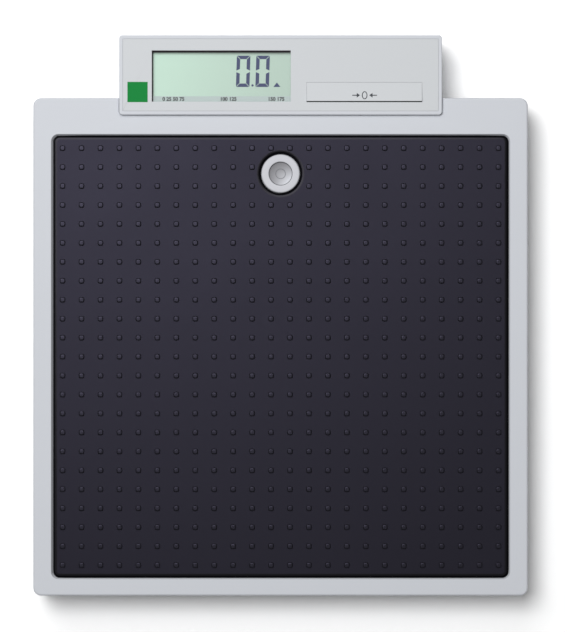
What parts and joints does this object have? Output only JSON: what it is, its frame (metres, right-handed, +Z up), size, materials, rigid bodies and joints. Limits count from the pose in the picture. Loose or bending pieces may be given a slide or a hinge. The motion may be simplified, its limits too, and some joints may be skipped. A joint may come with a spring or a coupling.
{
  "type": "bathroom scale",
  "caption": "Flat electronic floor scale with a rubber standing mat, a display head with a press key, a spirit level and levelling feet.",
  "frame": {"origin": "on the floor, under the middle of the scale's bounding box", "axes": "+Y towards the display head, +X to the right of someone facing the display, +Z up"},
  "size_m": [0.321, 0.3636, 0.06],
  "materials": {
    "shell_grey": "satin moulded",
    "panel_grey": "smooth satin sheet",
    "tray_grey": "fine spark-eroded texture",
    "mat_rubber": "matt moulded",
    "foot_rubber": "matt moulded",
    "level_white": "satin moulded",
    "level_vial": "polished, filled",
    "clear_pane": "clear acrylic",
    "lcd_green": "reflective display film",
    "carrier_white": "moulded",
    "strip_black": "elastomer",
    "board_green": "solder mask",
    "chip_black": "moulded",
    "label_green": "printed film",
    "zinc_steel": "zinc plated",
    "screw_steel": "zinc plated",
    "beam_aluminium": "milled",
    "cell_can": "plastic sleeve on a steel can",
    "lead_sheath": "extruded sheath"
  },
  "bodies": {
    "root": {"top_frame": "shell_grey", "head_cover": "shell_grey", "head_base": "shell_grey", "face_panel": "panel_grey", "base_tray": "tray_grey", "level_cup": "tray_grey", "standing_mat": "mat_rubber", "level_bezel": "level_white", "level_vial": "level_vial", "display_window": "clear_pane", "lcd_glass": "lcd_green", "lcd_carrier": "carrier_white", "contact_strip": "strip_black", "circuit_board": "board_green", "processor_chip": "chip_black", "switch_body": "chip_black", "green_label": "label_green", "platform_plate": "zinc_steel", "battery_contacts_left": "zinc_steel", "battery_contacts_right": "zinc_steel", "load_cell_spacer_front_left": "zinc_steel", "load_cell_spacer_front_right": "zinc_steel", "load_cell_spacer_rear_left": "zinc_steel", "load_cell_spacer_rear_right": "zinc_steel", "base_screw_front_left": "screw_steel", "base_screw_front_right": "screw_steel", "base_screw_rear_left": "screw_steel", "base_screw_rear_right": "screw_steel", "cover_screw_left": "screw_steel", "cover_screw_right": "screw_steel", "head_screw_left": "screw_steel", "head_screw_right": "screw_steel", "load_cell_front_left": "beam_aluminium", "load_cell_front_right": "beam_aluminium", "load_cell_rear_left": "beam_aluminium", "load_cell_rear_right": "beam_aluminium", "battery_cell_1": "cell_can", "battery_cell_2": "cell_can", "battery_cell_3": "cell_can", "battery_cell_4": "cell_can", "battery_cell_5": "cell_can", "battery_cell_6": "cell_can", "lead_rear_left": "lead_sheath", "lead_front_left": "lead_sheath", "lead_front_right": "lead_sheath", "lead_battery": "lead_sheath", "lead_rear_right": "lead_sheath"},
    "press_key": {"press_key": "shell_grey"},
    "switch_plunger": {"switch_plunger": "chip_black"},
    "battery_lid": {"battery_lid": "tray_grey"},
    "foot_pad_front_left": {"foot_pad_front_left": "foot_rubber"},
    "foot_pad_front_right": {"foot_pad_front_right": "foot_rubber"},
    "foot_pad_rear_left": {"foot_pad_rear_left": "foot_rubber"},
    "foot_pad_rear_right": {"foot_pad_rear_right": "foot_rubber"},
    "foot_stud_front_left": {"foot_stud_front_left": "zinc_steel"},
    "foot_stud_front_right": {"foot_stud_front_right": "zinc_steel"},
    "foot_stud_rear_left": {"foot_stud_rear_left": "zinc_steel"},
    "foot_stud_rear_right": {"foot_stud_rear_right": "zinc_steel"}
  },
  "joints": [
    {"name": "press_key_tip", "type": "hinge", "parent": "root", "child": "press_key", "pos_m": [0.05435, 0.1495, 0.0542], "axis": [1, 0, 0], "range_deg": [0, 3]},
    {"name": "plunger_press", "type": "slide", "parent": "root", "child": "switch_plunger", "axis": [0, 0, -1], "range_m": [0, 0.00034], "stiffness_N_per_m": 6400},
    {"name": "battery_lid_swing", "type": "hinge", "parent": "root", "child": "battery_lid", "pos_m": [0, 0.02745, 0.0093], "axis": [1, 0, 0], "range_deg": [0, 90]},
    {"name": "foot_lift_front_left", "type": "slide", "parent": "root", "child": "foot_pad_front_left", "axis": [0, 0, -1], "range_m": [0, 0.01]},
    {"name": "foot_turn_front_left", "type": "hinge", "parent": "foot_pad_front_left", "child": "foot_stud_front_left", "pos_m": [-0.1325, -0.1538, 0.02], "axis": [0, 0, -1], "range_deg": [0, 2880]},
    {"name": "foot_lift_front_right", "type": "slide", "parent": "root", "child": "foot_pad_front_right", "axis": [0, 0, -1], "range_m": [0, 0.01]},
    {"name": "foot_turn_front_right", "type": "hinge", "parent": "foot_pad_front_right", "child": "foot_stud_front_right", "pos_m": [0.1325, -0.1538, 0.02], "axis": [0, 0, -1], "range_deg": [0, 2880]},
    {"name": "foot_lift_rear_left", "type": "slide", "parent": "root", "child": "foot_pad_rear_left", "axis": [0, 0, -1], "range_m": [0, 0.01]},
    {"name": "foot_turn_rear_left", "type": "hinge", "parent": "foot_pad_rear_left", "child": "foot_stud_rear_left", "pos_m": [-0.1325, 0.0972, 0.02], "axis": [0, 0, -1], "range_deg": [0, 2880]},
    {"name": "foot_lift_rear_right", "type": "slide", "parent": "root", "child": "foot_pad_rear_right", "axis": [0, 0, -1], "range_m": [0, 0.01]},
    {"name": "foot_turn_rear_right", "type": "hinge", "parent": "foot_pad_rear_right", "child": "foot_stud_rear_right", "pos_m": [0.1325, 0.0972, 0.02], "axis": [0, 0, -1], "range_deg": [0, 2880]}
  ],
  "couplings": [
    {"joint": "press_key_tip", "follows": "plunger_press", "rad_per_m": 153.8},
    {"joint": "foot_turn_front_left", "follows": "foot_lift_front_left", "rad_per_m": 5026.5},
    {"joint": "foot_turn_front_right", "follows": "foot_lift_front_right", "rad_per_m": 5026.5},
    {"joint": "foot_turn_rear_left", "follows": "foot_lift_rear_left", "rad_per_m": 5026.5},
    {"joint": "foot_turn_rear_right", "follows": "foot_lift_rear_right", "rad_per_m": 5026.5}
  ]
}
